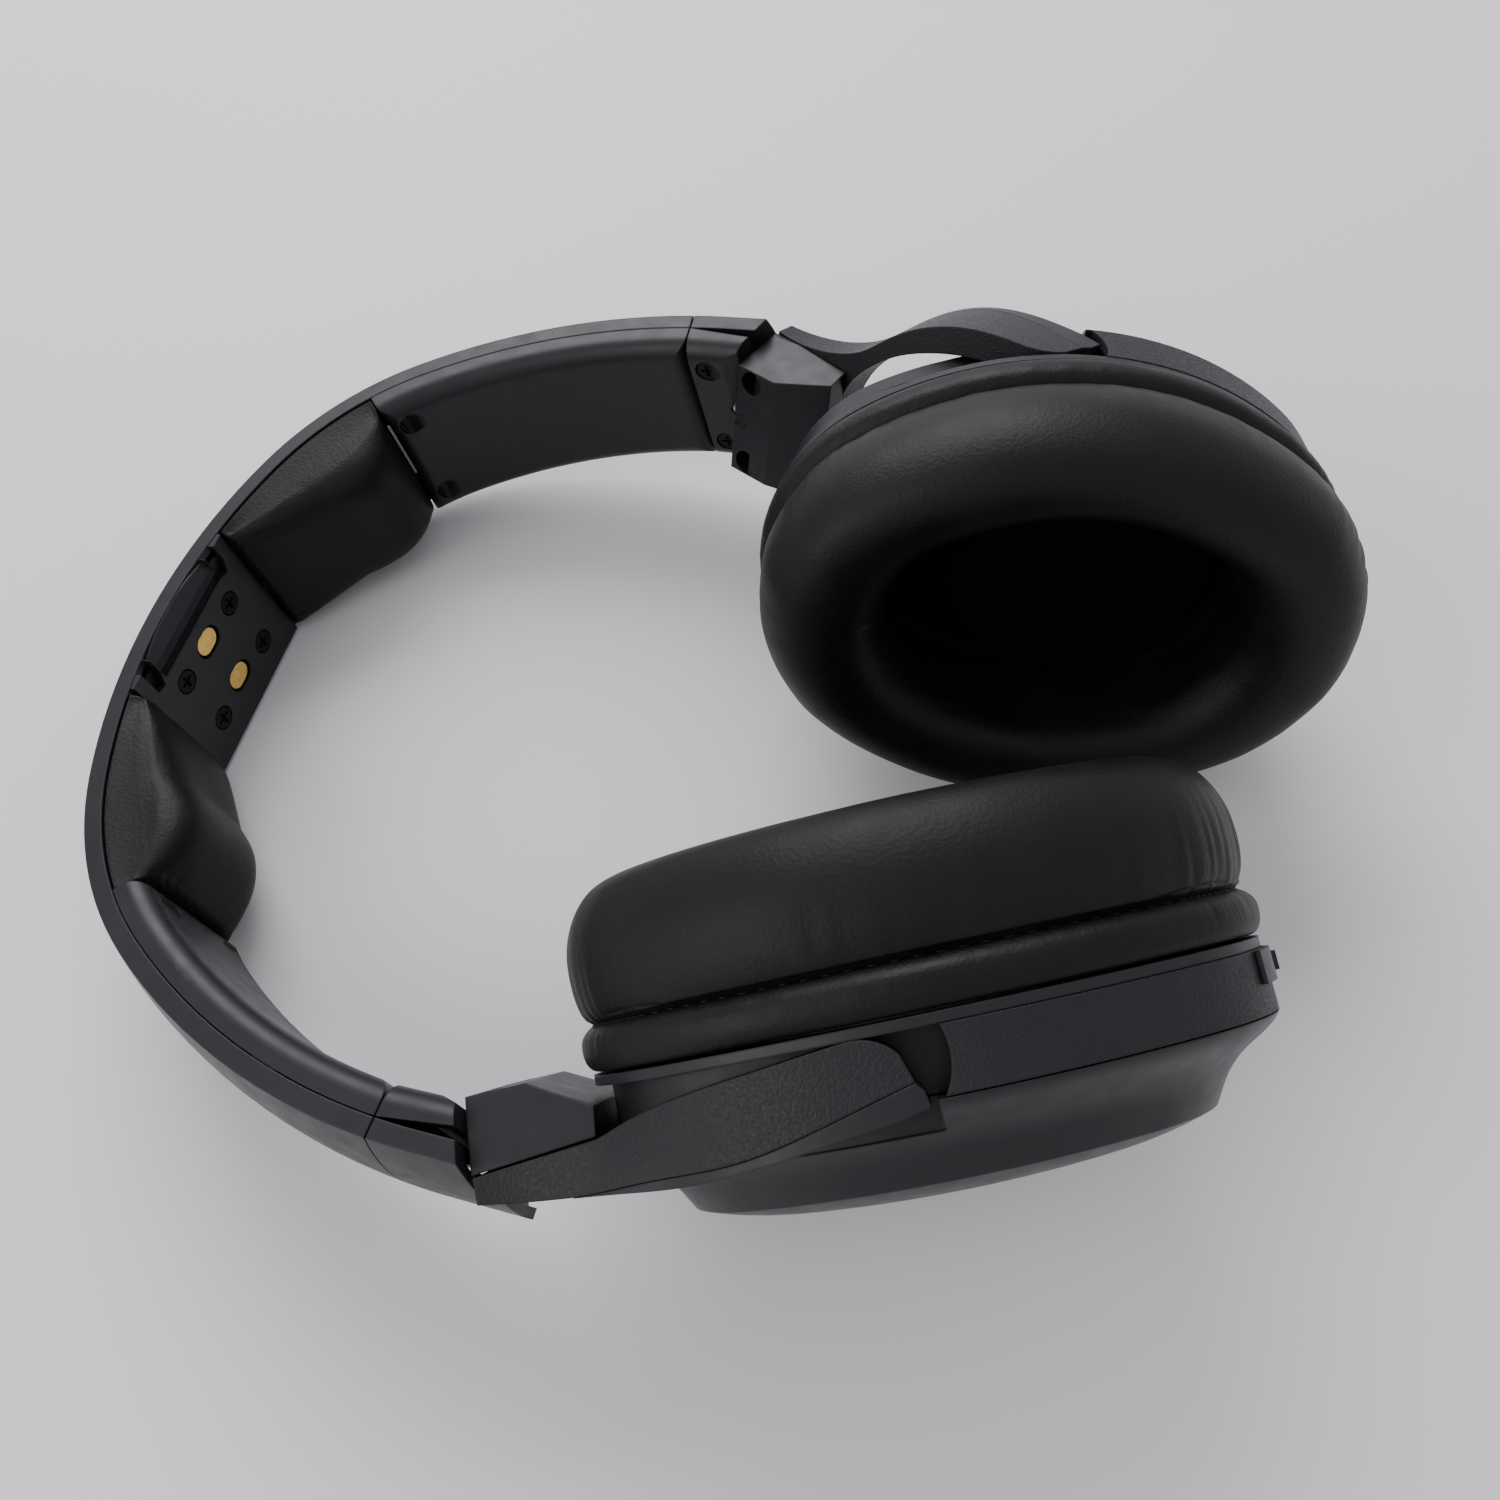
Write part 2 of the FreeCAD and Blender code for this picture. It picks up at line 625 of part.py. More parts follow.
FACE_LINE = [(9.75, 44), (9.5, 38), (8.8, 30.6), (8.0, 18.2), (5.9, 8), (2.9, -4.2)]
FORK_OUTER = [(8.3, 57.4), (9.2, 51), (9.75, 44)]
FACE_OUTER = [(9.85, 44), (10.2, 33), (9.9, 24.3), (8.5, 11.1), (7.0, -1.4)]
TONGUE_RECESS = [(5.4, 60), (5.5, 56), (7.2, 51), (10.6, 45.2), (16, 45.2), (16, 60)]
FORK_INNER = [(2.4, 37.2), (-0.2, 27.8), (-2.1, 13.7), (-3.1, 4.0), (-3.1, 1.0)]
FORK_INNER += [(-1.9, -1.8), (-0.4, -3.2)]


def trim_front(body):
    """Keep only what lies inside the fork's front outline."""
    around = rectangle(20, 0, 140, 120)
    pocket(body, around + front_outline(), "80", "YZ_Plane")


def make_fork(side):
    body = new_body("yoke_fork_" + side, swivel_frame(side))
    edges = outline([(3.1, 39.6), (4.7, 57.4)], FORK_OUTER, FACE_LINE, FORK_INNER[::-1])
    pad(body, edges, "2 * Sizes.arm_outer + 4")
    trim_front(body)
    pocket(body, polygon(TONGUE_RECESS), "2 * Sizes.tongue_width - 1.2")
    for offset in ("-Sizes.arm_inner - 3.4", "Sizes.arm_inner - 1"):
        pocket(body, circle(0, 0, size("pin_radius") + 0.1), "4.4", "XY_Plane", offset, False)


def make_face(side):
    body = new_body("yoke_face_" + side, swivel_frame(side))
    line = [(b + 0.12, a) for b, a in FACE_LINE[1:]]
    edges = outline([(9.86, 43.9)] + line, [(4.1, -5.1), (6.1, -5.4)], FACE_OUTER[::-1])
    pad(body, edges, "2 * Sizes.arm_outer + 4")
    trim_front(body)


HANGER_SCREWS = (8.2, -8.2)


def make_hanger(side):
    body = new_body("hanger_cover_" + side, swivel_frame(side))
    top = size("hanger_top")
    corners = [(-6.0, top), (-6.1, 48.8), (-1.2, 39.6), (2.8, 39.8), (4.4, top)]
    pad(body, polygon(corners), "40")
    wide = size("hanger_half")
    left = [(top, wide), (49, wide + 0.4), (45, wide + 1.2), (38.4, 17.6)]
    right = [(a, -z) for a, z in reversed(left)]
    shape = outline(left, [(38.4, 17.6), (38.4, -17.6)], right)
    pocket(body, rectangle(50, 0, 60, 70) + shape, "60", "YZ_Plane")
    for flip in (1, -1):
        slope = [(-7, 10.4), (4.8, wide + 0.4), (4.8, 25), (-7, 25)]
        pocket(body, polygon([(b, flip * z) for b, z in slope]), "140", "XZ_Plane")
    bore = size("post_radius") + size("running_gap")
    station = swivel_frame(side) * Placement(Vector(0, top, 0), Rotation(X_AXIS, -90))
    drill(body, station, circle(0, 0, bore), 10)
    station = swivel_frame(side) * Placement(Vector(0, 49.3, 0), Rotation(X_AXIS, -90))
    drill(body, station, circle(0, 0, bore + 0.7), 2.6)
    for z in HANGER_SCREWS:
        drill(body, hanger_station(side, z), circle(0, 0, 2.3), 5.2)
        drill(body, hanger_station(side, z), circle(0, 0, 1.2), 9)
    drill(body, hanger_station(side, 0, 0, 2.0), circle(0, 0, 1.7), 0.5)


def hanger_station(side, z=0.0, sink=0.0, up=0.0):
    """Place on the hanger's inner face, +Z pointing at the head."""
    spot = Placement(Vector(-6.05 + sink, 54.2 + up, z), Rotation(Y_AXIS, -90))
    return swivel_frame(side) * spot


def make_hanger_screws(side):
    frame = hanger_station(side, 0, 5.1)
    make_screws("hanger_screws_" + side, frame, [(z, 0) for z in HANGER_SCREWS], 3.0)


def make_pins(side):
    body = new_body("pivot_pins_" + side, swivel_frame(side))
    for offset in ("-Sizes.arm_inner - 3.2", "Sizes.arm_inner - 3.4"):
        edges = circle(0, 0, size("pin_radius"))
        pad(body, edges, "6.6", "XY_Plane", offset, False)


# ---------------------------------------------------------------- cup pieces

def make_cushion(side):
    body = new_body("ear_cushion_" + side, cup_frame(side))
    seam = "Sizes.seam_x"
    deep = "Sizes.cushion_thickness"
    rim = size("cup_half_length") + 0.2
    wide = size("cup_half_width") + 0.8
    loft(body, "AdditiveLoft", [
        (seam, oval(rim - 1.3, wide - 1.5)),
        (f"{seam} - {deep} * 0.2", oval(rim, wide)),
        (f"{seam} - {deep} * 0.65", oval(rim, wide)),
        (f"{seam} - {deep} * 0.9", oval(rim - 2.8, wide - 2.7)),
        (f"{seam} - {deep}", oval(rim - 9, wide - 8)),
    ])
    loft(body, "AdditiveLoft", [
        (seam, oval(rim - 1.3, wide - 1.5)),
        (f"{seam} + 1.6", oval(rim + 0.2, wide - 0.5)),
        (f"{seam} + 4.4", oval(rim + 0.2, wide - 0.5)),
        (f"{seam} + 6.1", oval(rim - 0.8, wide - 1.4)),
    ])
    long = size("opening_half_length")
    short = size("opening_half_width")
    loft(body, "SubtractiveLoft", [
        (f"{seam} - {deep} - 0.4", oval(long + 3, short + 2.6)),
        (f"{seam} - {deep} * 0.85", oval(long + 0.6, short + 0.6)),
        (f"{seam} + 7", oval(long, short)),
    ], True)


def oval_plate(label, side, half_length, half_width, start, thickness):
    """Flat oval disc: from a start expression, outwards by a thickness."""
    body = new_body(label + side, cup_frame(side))
    pad(body, oval(half_length, half_width), thickness, "YZ_Plane", start, False)
    return body


def make_mesh(side):
    long = size("opening_half_length") - 0.5
    short = size("opening_half_width") - 0.5
    oval_plate("ear_mesh_", side, long, short, "Sizes.seam_x + 4.1", "1.2")


CUP_SCREWS = [(y, z) for y in (-34, 34) for z in (-12, 12)]


def cup_station(side, x, y=0.0, z=0.0):
    """Place in the cup facing the ear; +Z points at the head."""
    spot = Placement(Vector(x, y - size("cup_drop"), z), Rotation(Y_AXIS, -90))
    return cup_frame(side) * spot


def make_baffle(side):
    long = size("cup_half_length") - 0.2
    wide = size("cup_half_width") - 0.1
    start = "Sizes.baffle_back - Sizes.baffle_thickness"
    body = oval_plate("baffle_", side, long, wide, start, "Sizes.baffle_thickness")
    centre = -size("cup_drop")
    pocket(body, circle(centre, 0, size("driver_radius") - 1.5), "20", "YZ_Plane")
    front = size("baffle_back") - size("baffle_thickness")
    for y, z in CUP_SCREWS:
        drill(body, cup_station(side, front, y, z), circle(0, 0, size("screw_head") + 0.2), 1.45)
        drill(body, cup_station(side, front, y, z), circle(0, 0, 1.3), 4)


def make_cup_screws(side):
    front = size("baffle_back") - size("baffle_thickness") + 1.4
    spots = [(z, y) for y, z in CUP_SCREWS]
    make_screws("cup_screws_" + side, cup_station(side, front), spots, 5)


def make_driver(side):
    centre = -size("cup_drop")
    wide = size("driver_radius")
    basket = new_body("driver_basket_" + side, cup_frame(side))
    pad(basket, circle(centre, 0, wide), "9", "YZ_Plane", "Sizes.baffle_back + 0.15", False)
    pocket(basket, circle(centre, 0, wide - 1.8), "7.4", "YZ_Plane", "Sizes.baffle_back", False)
    diaphragm = new_body("driver_diaphragm_" + side, cup_frame(side))
    disc = circle(centre, 0, wide - 2.1)
    pad(diaphragm, disc, "0.5", "YZ_Plane", "Sizes.baffle_back + 0.6", False)
    magnet = new_body("driver_magnet_" + side, cup_frame(side))
    disc = circle(centre, 0, size("magnet_radius"))
    pad(magnet, disc, "4.4", "YZ_Plane", "Sizes.baffle_back + 9.25", False)


def notch(body):
    """Clear the swing of the fork's tips and everything above them."""
    clear = size("tip_reach") + 0.8
    pocket(body, circle(0, 0, clear), "120")
    top = -size("cup_drop") - 0.7
    pocket(body, rectangle(0, top + 40, 60, 80), "120")


def make_ring(side):
    body = new_body("housing_ring_" + side, cup_frame(side))
    long = size("cup_half_length")
    wide = size("cup_half_width")
    start = "Sizes.baffle_back + 0.1"
    pad(body, oval(long, wide), "8.2", "YZ_Plane", start, False)
    pocket(body, oval(long - 2.1, wide - size("shell_wall")), "40", "YZ_Plane")
    notch(body)
    if side == "right":
        window = rectangle(-size("cup_drop") - long, 0, 6, 7.4)
        pocket(body, window, "3.4", "YZ_Plane", "-2.5", False)


def make_core(side):
    body = new_body("housing_core_" + side, cup_frame(side))
    long = size("core_half_length")
    wide = size("core_half_width")
    wall = size("shell_wall")
    start = "Sizes.baffle_back + 0.1"
    pad(body, oval(long, wide), "8.2", "YZ_Plane", start, False)
    pocket(body, oval(long - wall, wide - wall), "40", "YZ_Plane")
    pocket(body, circle(0, 0, size("pin_radius") + size("running_gap")), "120")


def make_outer_shell(side):
    body = new_body("outer_cover_" + side, cup_frame(side))
    long = size("cup_half_length")
    wide = size("cup_half_width")
    face_long = size("face_half_length")
    face_wide = size("face_half_width")
    back = "Sizes.ring_back"
    rise = "(Sizes.face_x - Sizes.ring_back)"
    loft(body, "AdditiveLoft", [
        (f"{back} + 0.1", oval(long, wide)),
        (f"{back} + {rise} * 0.12", oval(long - 1.0, wide - 0.9)),
        (f"{back} + {rise} * 0.46", oval(face_long + 4.4, face_wide + 3.6)),
        (f"{back} + {rise} * 0.73", oval(face_long + 1.8, face_wide + 1.5)),
        ("Sizes.face_x", oval(face_long, face_wide)),
    ])
    loft(body, "AdditiveLoft", [
        ("Sizes.face_x", oval(face_long, face_wide)),
        ("Sizes.face_x + Sizes.face_dome * 0.45", oval(face_long * 0.84, face_wide * 0.83)),
        ("Sizes.face_x + Sizes.face_dome * 0.79", oval(face_long * 0.6, face_wide * 0.58)),
        ("Sizes.face_x + Sizes.face_dome", oval(face_long * 0.27, face_wide * 0.27)),
    ])
    loft(body, "SubtractiveLoft", [
        (back, oval(long - 4.2, wide - 8.1)),
        (f"{back} + {rise} * 0.84", oval(face_long - 2.3, face_wide - 2.5)),
    ], True)
    arm_recess(body)


def arm_recess(body):
    """Step round the top of the cover where the fork's arms lie."""
    centre = -size("cup_drop")
    half = oval_points(size("core_half_length") - 0.4, size("core_half_width") + 0.2)
    spots = [Vector(centre + x, y, 0) for x, y in half]
    arcs = [Part.Arc(*spots[i:i + 3]) for i in (0, 2, 4)]
    frame = [spots[-1], Vector(centre, 60, 0), Vector(60, 60, 0)]
    frame += [Vector(60, -60, 0), Vector(centre, -60, 0), spots[0]]
    lines = [Part.LineSegment(p, q) for p, q in zip(frame, frame[1:])]
    pocket(body, arcs + lines, "4.2", "YZ_Plane", "Sizes.ring_back", False)


def make_board():
    long = size("face_half_length") + 1
    wide = size("face_half_width") - 2
    body = oval_plate("circuit_board_", "right", long, wide, "Sizes.ring_back + 1.8", "1.4")
    centre = -size("cup_drop")
    pocket(body, circle(centre, 0, size("magnet_radius") + 1.5), "40", "YZ_Plane")


def make_battery():
    body = new_body("battery_left", cup_frame("left"))
    edges = rectangle(-size("cup_drop") - 19.5, 0, 18, 18)
    pad(body, edges, "4.5", "YZ_Plane", "Sizes.ring_back + 2.4", False)


def sector(inner, outer, start, end):
    """Part of a band round the cup's lower end; angles from straight down."""
    centre = -size("cup_drop") - size("cup_half_length") + size("cup_end_radius")

    def spot(radius, angle):
        turn = math.radians(angle)
        return Vector(centre - radius * math.cos(turn), radius * math.sin(turn), 0)

    middle = (start + end) / 2
    low = [spot(inner, a) for a in (start, middle, end)]
    high = [spot(outer, a) for a in (end, middle, start)]
    lines = [Part.LineSegment(low[2], high[0]), Part.LineSegment(high[2], low[0])]
    return [Part.Arc(*low), lines[0], Part.Arc(*high), lines[1]]


def make_controls():
    r = size("cup_end_radius")
    strip = new_body("control_strip_right", cup_frame("right"))
    pad(strip, sector(r + 0.1, r + 0.8, -30, 30), "4.3", "YZ_Plane", "-2.95", False)
    window = rectangle(-size("cup_drop") - size("cup_half_length"), 0, 6, 7.2)
    pocket(strip, window, "3.3", "YZ_Plane", "-2.45", False)
    button = new_body("power_button_right", cup_frame("right"))
    pad(button, sector(r - 1.0, r + 1.7, -5.6, 5.6), "2.6", "YZ_Plane", "-2.1", False)


# ---------------------------------------------------------------- assemble

make_outer_cover()
make_contact_plate()
make_contacts()
make_screws("plate_screws", plate_station(0, 0, 0.95), PLATE_SCREWS, 1.2)
make_spring()
make_cable()
for hand in ("left", "right"):
    make_inner_cover(hand)
    make_pad(hand)
    make_slider_outer(hand)
    make_slider_inner(hand)
    make_slider_screws(hand)
    make_slider_strip(hand)
    make_post(hand)
    make_fork(hand)
    make_face(hand)
    make_hanger(hand)
    make_hanger_screws(hand)
    make_pins(hand)
    make_cushion(hand)
    make_mesh(hand)
    make_baffle(hand)
    make_cup_screws(hand)
    make_driver(hand)
    make_ring(hand)
    make_core(hand)
    make_outer_shell(hand)
make_board()
make_battery()
make_controls()
doc.recompute()


def lay_down():
    """Turn everything about X onto the table and centre it on the origin."""
    turn = Placement(Vector(), Rotation(X_AXIS, -size("lie_angle")))
    for part in sub_parts:
        part.Placement = turn * part.Placement
    doc.recompute()
    box = FreeCAD.BoundBox()
    for part in sub_parts:
        box.add(part.Shape.optimalBoundingBox(False, False))
    shift = Placement(Vector(-box.Center.x, -box.Center.y, -box.ZMin), Rotation())
    for part in sub_parts:
        part.Placement = shift * part.Placement
    doc.recompute()
    return shift * turn


world = lay_down()
for item in doc.Objects:
    if "Invalid" in item.State or "Error" in item.State:
        raise RuntimeError(f"{item.Label} failed: {item.State}")
for item in sub_parts:
    if item.Shape.isNull() or not item.Shape.isValid():
        raise RuntimeError(f"{item.Label} has no valid shape")

os.makedirs("parts", exist_ok=True)
for item in sub_parts:
    item.Shape.exportStep(f"parts/{item.Label}.step")
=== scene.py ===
# Over ear headphones on a pale table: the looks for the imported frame.
import bpy
import json
import math
from mathutils import Matrix, Vector, noise


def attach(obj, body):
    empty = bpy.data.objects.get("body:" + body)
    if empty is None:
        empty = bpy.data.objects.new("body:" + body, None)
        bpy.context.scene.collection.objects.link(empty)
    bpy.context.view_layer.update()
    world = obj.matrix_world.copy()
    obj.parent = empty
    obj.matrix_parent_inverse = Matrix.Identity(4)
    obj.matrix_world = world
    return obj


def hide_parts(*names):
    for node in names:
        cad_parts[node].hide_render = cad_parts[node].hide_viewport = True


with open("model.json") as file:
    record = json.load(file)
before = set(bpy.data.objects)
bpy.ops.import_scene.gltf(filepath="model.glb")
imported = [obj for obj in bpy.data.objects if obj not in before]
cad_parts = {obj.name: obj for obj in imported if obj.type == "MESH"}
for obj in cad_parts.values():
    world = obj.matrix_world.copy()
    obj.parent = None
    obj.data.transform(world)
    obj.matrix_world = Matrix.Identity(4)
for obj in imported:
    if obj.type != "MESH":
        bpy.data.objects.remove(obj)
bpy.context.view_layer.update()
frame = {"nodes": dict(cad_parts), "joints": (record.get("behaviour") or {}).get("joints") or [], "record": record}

MM = 0.001

# Driving values of the design, in millimetres and degrees.
LIE = 9.1                              # lean of the whole object as it lies
CROWN = (96.4, 20.8)                   # headband arc: radius, end angle
SHOULDER = (55.7, 57.3)                # next arc: radius, end angle
SIDE = 107.7                           # radius of the last arc
RISE = 97.1                            # top of the headband
BAND_HALF = 15.0                       # half of the headband's width
PIVOT = Vector((46.2, -46.3, 0.0))     # where the left cup tilts
SWIVEL_LEAN = 25.2                     # swivel axis from the headband's plane
SWIVEL = {"left": 22.5, "right": 21.2}
TILT = {"left": -15.7, "right": 24.6}
CUP_DROP = 6.5                         # cup centre below its tilt axis
CUP_HALF = (47.6, 35.7)                # half length and half width of a cup
CUP_END = 30.0                         # radius of the oval's ends
SEAM = -11.1                           # where cushion and skirt meet
CUSHION = 20.5                         # depth of a cushion from its seam
OPENING = (28.5, 19.8)                 # half length and half width inside
LEATHER_OUTSIDE = (CUP_HALF[0] + 0.2, CUP_HALF[1] + 0.4)


# ---------------------------------------------------------------- frames

def turn(axis, degrees):
    return Matrix.Rotation(math.radians(degrees), 4, axis)


def joint_place(name):
    """Where a joint of the frame sits, in metres."""
    joint = next(j for j in frame["joints"] if j["name"] == name)
    return Vector(joint["pos_m"])


lie = turn("X", -LIE)
shift = joint_place("tilt_left") / MM - lie @ PIVOT
WORLD = Matrix.Scale(MM, 4) @ Matrix.Translation(shift) @ lie


def band_frame(side):
    return Matrix.Identity(4) if side == "left" else turn("Y", 180)


def swivel_frame(side):
    angle = SWIVEL["left"] if side == "left" else -SWIVEL["right"]
    flat = Matrix.Translation(PIVOT) @ turn("Z", -SWIVEL_LEAN)
    return band_frame(side) @ flat @ turn("Y", angle)


def cup_frame(side):
    return swivel_frame(side) @ turn("Z", SWIVEL_LEAN - TILT[side])


def arch_point(depth, angle):
    """Point on the headband at a depth under its outer edge, in mm."""
    t = math.radians(abs(angle))
    x, y, radius = 0.0, RISE - CROWN[0], CROWN[0]
    for end, following in ((CROWN[1], SHOULDER[0]), (SHOULDER[1], SIDE)):
        end = math.radians(end)
        if t > end:
            x += (radius - following) * math.sin(end)
            y += (radius - following) * math.cos(end)
            radius = following
    x += (radius - depth) * math.sin(t)
    y += (radius - depth) * math.cos(t)
    return Vector((math.copysign(x, angle), y, 0.0))


def oval_point(half_length, half_width, angle):
    """Point and outward normal on a four-arc oval, at a normal angle."""
    r = CUP_END * min(half_width / CUP_HALF[1], 1.0)
    run = half_length - r
    big = (run ** 2 + half_width ** 2 - r ** 2) / (2 * (half_width - r))
    change = math.atan2(big - half_width, run)
    c, s = math.cos(angle), math.sin(angle)
    normal = Vector((0.0, c, s))
    if abs(math.atan2(s, abs(c))) < change:
        centre = Vector((0.0, math.copysign(run, c), 0.0))
        point = centre + normal * r
    else:
        centre = Vector((0.0, 0.0, math.copysign(big - half_width, -s)))
        point = centre + normal * big
    return point - Vector((0.0, CUP_DROP, 0.0)), normal


# ---------------------------------------------------------------- materials

class Shader:
    """Short way to lay out one procedural material."""

    def __init__(self, name):
        self.material = bpy.data.materials.new(name)
        self.material.use_nodes = True
        self.tree = self.material.node_tree
        self.main = self.tree.nodes["Principled BSDF"]
        self.place = self.node("ShaderNodeTexCoord").outputs["Object"]

    def node(self, kind, **values):
        made = self.tree.nodes.new(kind)
        for key, value in values.items():
            if hasattr(made, key):
                setattr(made, key, value)
            else:
                made.inputs[key.replace("_", " ")].default_value = value
        return made

    def link(self, source, target):
        self.tree.links.new(source, target)

    def noise(self, scale, detail=3.0, rough=0.5, stretch=None):
        made = self.node("ShaderNodeTexNoise", Scale=scale, Detail=detail, Roughness=rough)
        self.link(self.spot(stretch), made.inputs["Vector"])
        return made.outputs["Fac"]

    def cells(self, scale):
        made = self.node("ShaderNodeTexVoronoi", feature="F1", Scale=scale)
        self.link(self.place, made.inputs["Vector"])
        return made.outputs["Distance"]

    def spot(self, stretch):
        if stretch is None:
            return self.place
        mapping = self.node("ShaderNodeMapping", Scale=stretch)
        self.link(self.place, mapping.inputs["Vector"])
        return mapping.outputs["Vector"]

    def ramp(self, source, stops):
        made = self.node("ShaderNodeValToRGB")
        ramp = made.color_ramp
        while len(ramp.elements) < len(stops):
            ramp.elements.new(0.5)
        for element, (where, colour) in zip(ramp.elements, stops):
            element.position = where
            element.color = (*colour, 1.0)
        self.link(source, made.inputs["Fac"])
        return made.outputs["Color"]

    def level(self, source, low, high, start=0.0, end=1.0):
        made = self.node("ShaderNodeMapRange")
        values = (start, end, low, high)
        for key, value in zip(("From Min", "From Max", "To Min", "To Max"), values):
            made.inputs[key].default_value = value
        self.link(source, made.inputs["Value"])
        return made.outputs["Result"]

    def bump(self, source, distance, strength=1.0, below=None):
        made = self.node("ShaderNodeBump", Strength=strength, Distance=distance)
        self.link(source, made.inputs["Height"])
        if below:
            self.link(below, made.inputs["Normal"])
        return made.outputs["Normal"]

    def soft_edges(self, radius):
        made = self.node("ShaderNodeBevel", samples=4, Radius=radius)
        return made.outputs["Normal"]

    def set(self, **values):
        for key, value in values.items():
            socket = self.main.inputs[key.replace("_", " ")]
            if isinstance(value, bpy.types.NodeSocket):
                self.link(value, socket)
            elif isinstance(value, tuple):
                socket.default_value = (*value, 1.0)
            else:
                socket.default_value = value
        return self.material


def satin_plastic():
    s = Shader("satin_plastic")
    broad = s.noise(38.0, 2.0)
    fine = s.noise(5200.0, 2.0, 0.6)
    colour = s.ramp(broad, [(0.3, (0.0075, 0.0084, 0.0102)), (0.7, (0.0095, 0.0106, 0.0128))])
    normal = s.bump(fine, 0.00002, 0.5, s.soft_edges(0.0004))
    rough = s.level(s.noise(260.0, 4.0), 0.36, 0.46, 0.3, 0.7)
    return s.set(Base_Color=colour, Roughness=rough, Normal=normal, Specular_IOR_Level=0.34)


def grained_plastic():
    s = Shader("grained_plastic")
    pits = s.noise(2300.0, 2.0, 0.55)
    fine = s.noise(4200.0, 2.0, 0.6)
    first = s.bump(s.level(pits, 0.0, 1.0, 0.38, 0.64), 0.00006, 0.7, s.soft_edges(0.0004))
    normal = s.bump(fine, 0.00002, 0.4, first)
    colour = s.ramp(s.noise(45.0), [(0.3, (0.0068, 0.0075, 0.0092)), (0.7, (0.0088, 0.0097, 0.0118))])
    rough = s.level(pits, 0.42, 0.60, 0.35, 0.65)
    return s.set(Base_Color=colour, Roughness=rough, Normal=normal, Specular_IOR_Level=0.32)


def leatherette():
    s = Shader("leatherette")
    cells = s.cells(1700.0)
    pores = s.noise(4200.0, 3.0, 0.6)
    creases = s.noise(420.0, 4.0, 0.62)
    worn = s.noise(70.0, 5.0, 0.6)
    colour = s.ramp(worn, [(0.3, (0.0028, 0.0028, 0.0031)), (0.75, (0.0046, 0.0046, 0.005))])
    first = s.bump(creases, 0.00011, 0.35)
    second = s.bump(cells, 0.00006, 0.6, first)
    normal = s.bump(pores, 0.00003, 0.5, second)
    rough = s.level(worn, 0.42, 0.56, 0.3, 0.7)
    return s.set(Base_Color=colour, Roughness=rough, Normal=normal, Specular_IOR_Level=0.22)


def gold():
    s = Shader("gold_contact")
    scratch = s.noise(900.0, 3.0, 0.6, (1.0, 6.0, 1.0))
    colour = s.ramp(scratch, [(0.3, (0.80, 0.50, 0.11)), (0.7, (0.95, 0.66, 0.22))])
    normal = s.bump(scratch, 0.00003, 0.4)
    return s.set(Base_Color=colour, Metallic=1.0, Roughness=0.3, Normal=normal)


def metal(name, colour, rough):
    s = Shader(name)
    lines = s.noise(700.0, 3.0, 0.6, (1.0, 9.0, 1.0))
    tint = s.ramp(lines, [(0.25, tuple(0.85 * c for c in colour)), (0.75, colour)])
    normal = s.bump(lines, 0.00002, 0.5, s.soft_edges(0.0002))
    return s.set(Base_Color=tint, Metallic=1.0, Roughness=rough, Normal=normal)


def plain(name, colour, rough):
    s = Shader(name)
    speckle = s.noise(800.0, 3.0)
    tint = s.ramp(speckle, [(0.3, tuple(0.8 * c for c in colour)), (0.7, colour)])
    normal = s.bump(speckle, 0.00003, 0.5)
    return s.set(Base_Color=tint, Roughness=rough, Normal=normal)


def mesh_cloth():
    s = Shader("mesh_cloth")
    weave = s.node("ShaderNodeTexBrick", Scale=900.0)
    s.link(s.place, weave.inputs["Vector"])
    normal = s.bump(weave.outputs["Fac"], 0.0001, 0.8)
    dark = (0.002, 0.002, 0.002)
    return s.set(Base_Color=dark, Roughness=0.9, Normal=normal, Specular_IOR_Level=0.1)


MATERIALS = {
    "satin_plastic": satin_plastic(),
    "grained_plastic": grained_plastic(),
    "leatherette": leatherette(),
    "gold_contact": gold(),
    "black_screw": metal("black_screw", (0.018, 0.018, 0.019), 0.5),
    "spring_steel": metal("spring_steel", (0.5, 0.5, 0.51), 0.3),
    "steel_pin": metal("steel_pin", (0.5, 0.5, 0.51), 0.25),
    "magnet": metal("magnet", (0.45, 0.45, 0.46), 0.25),
    "driver_film": plain("driver_film", (0.12, 0.12, 0.12), 0.35),
    "board": plain("board", (0.02, 0.12, 0.05), 0.4),
    "cell_wrap": plain("cell_wrap", (0.1, 0.12, 0.2), 0.4),
    "flat_cable": plain("flat_cable", (0.02, 0.014, 0.01), 0.5),
    "mesh_cloth": mesh_cloth(),
}


def dress_nodes():
    """Give each CAD node its finished material."""
    slots = {s["node"]: s["material_slot"] for s in frame["record"]["subparts"]}
    for name, node in frame["nodes"].items():
        for slot in node.material_slots:
            slot.material = MATERIALS[slots[name]]


# ---------------------------------------------------------------- soft goods

def new_piece(name, points, faces, material):
    mesh = bpy.data.meshes.new(name)
    mesh.from_pydata([tuple(p) for p in points], [], faces)
    mesh.update()
    for face in mesh.polygons:
        face.use_smooth = True
    mesh.materials.append(material)
    piece = bpy.data.objects.new(name, mesh)
    bpy.context.scene.collection.objects.link(piece)
    return piece


def ring_faces(around, along, closed=False):
    """Quads of a grid that closes round; closed joins the last row to the first."""
    faces = []
    for j in range(along if closed else along - 1):
        below = (j + 1) % along
        for i in range(around):
            k = (i + 1) % around
            faces.append((j * around + i, j * around + k, below * around + k, below * around + i))
    return faces


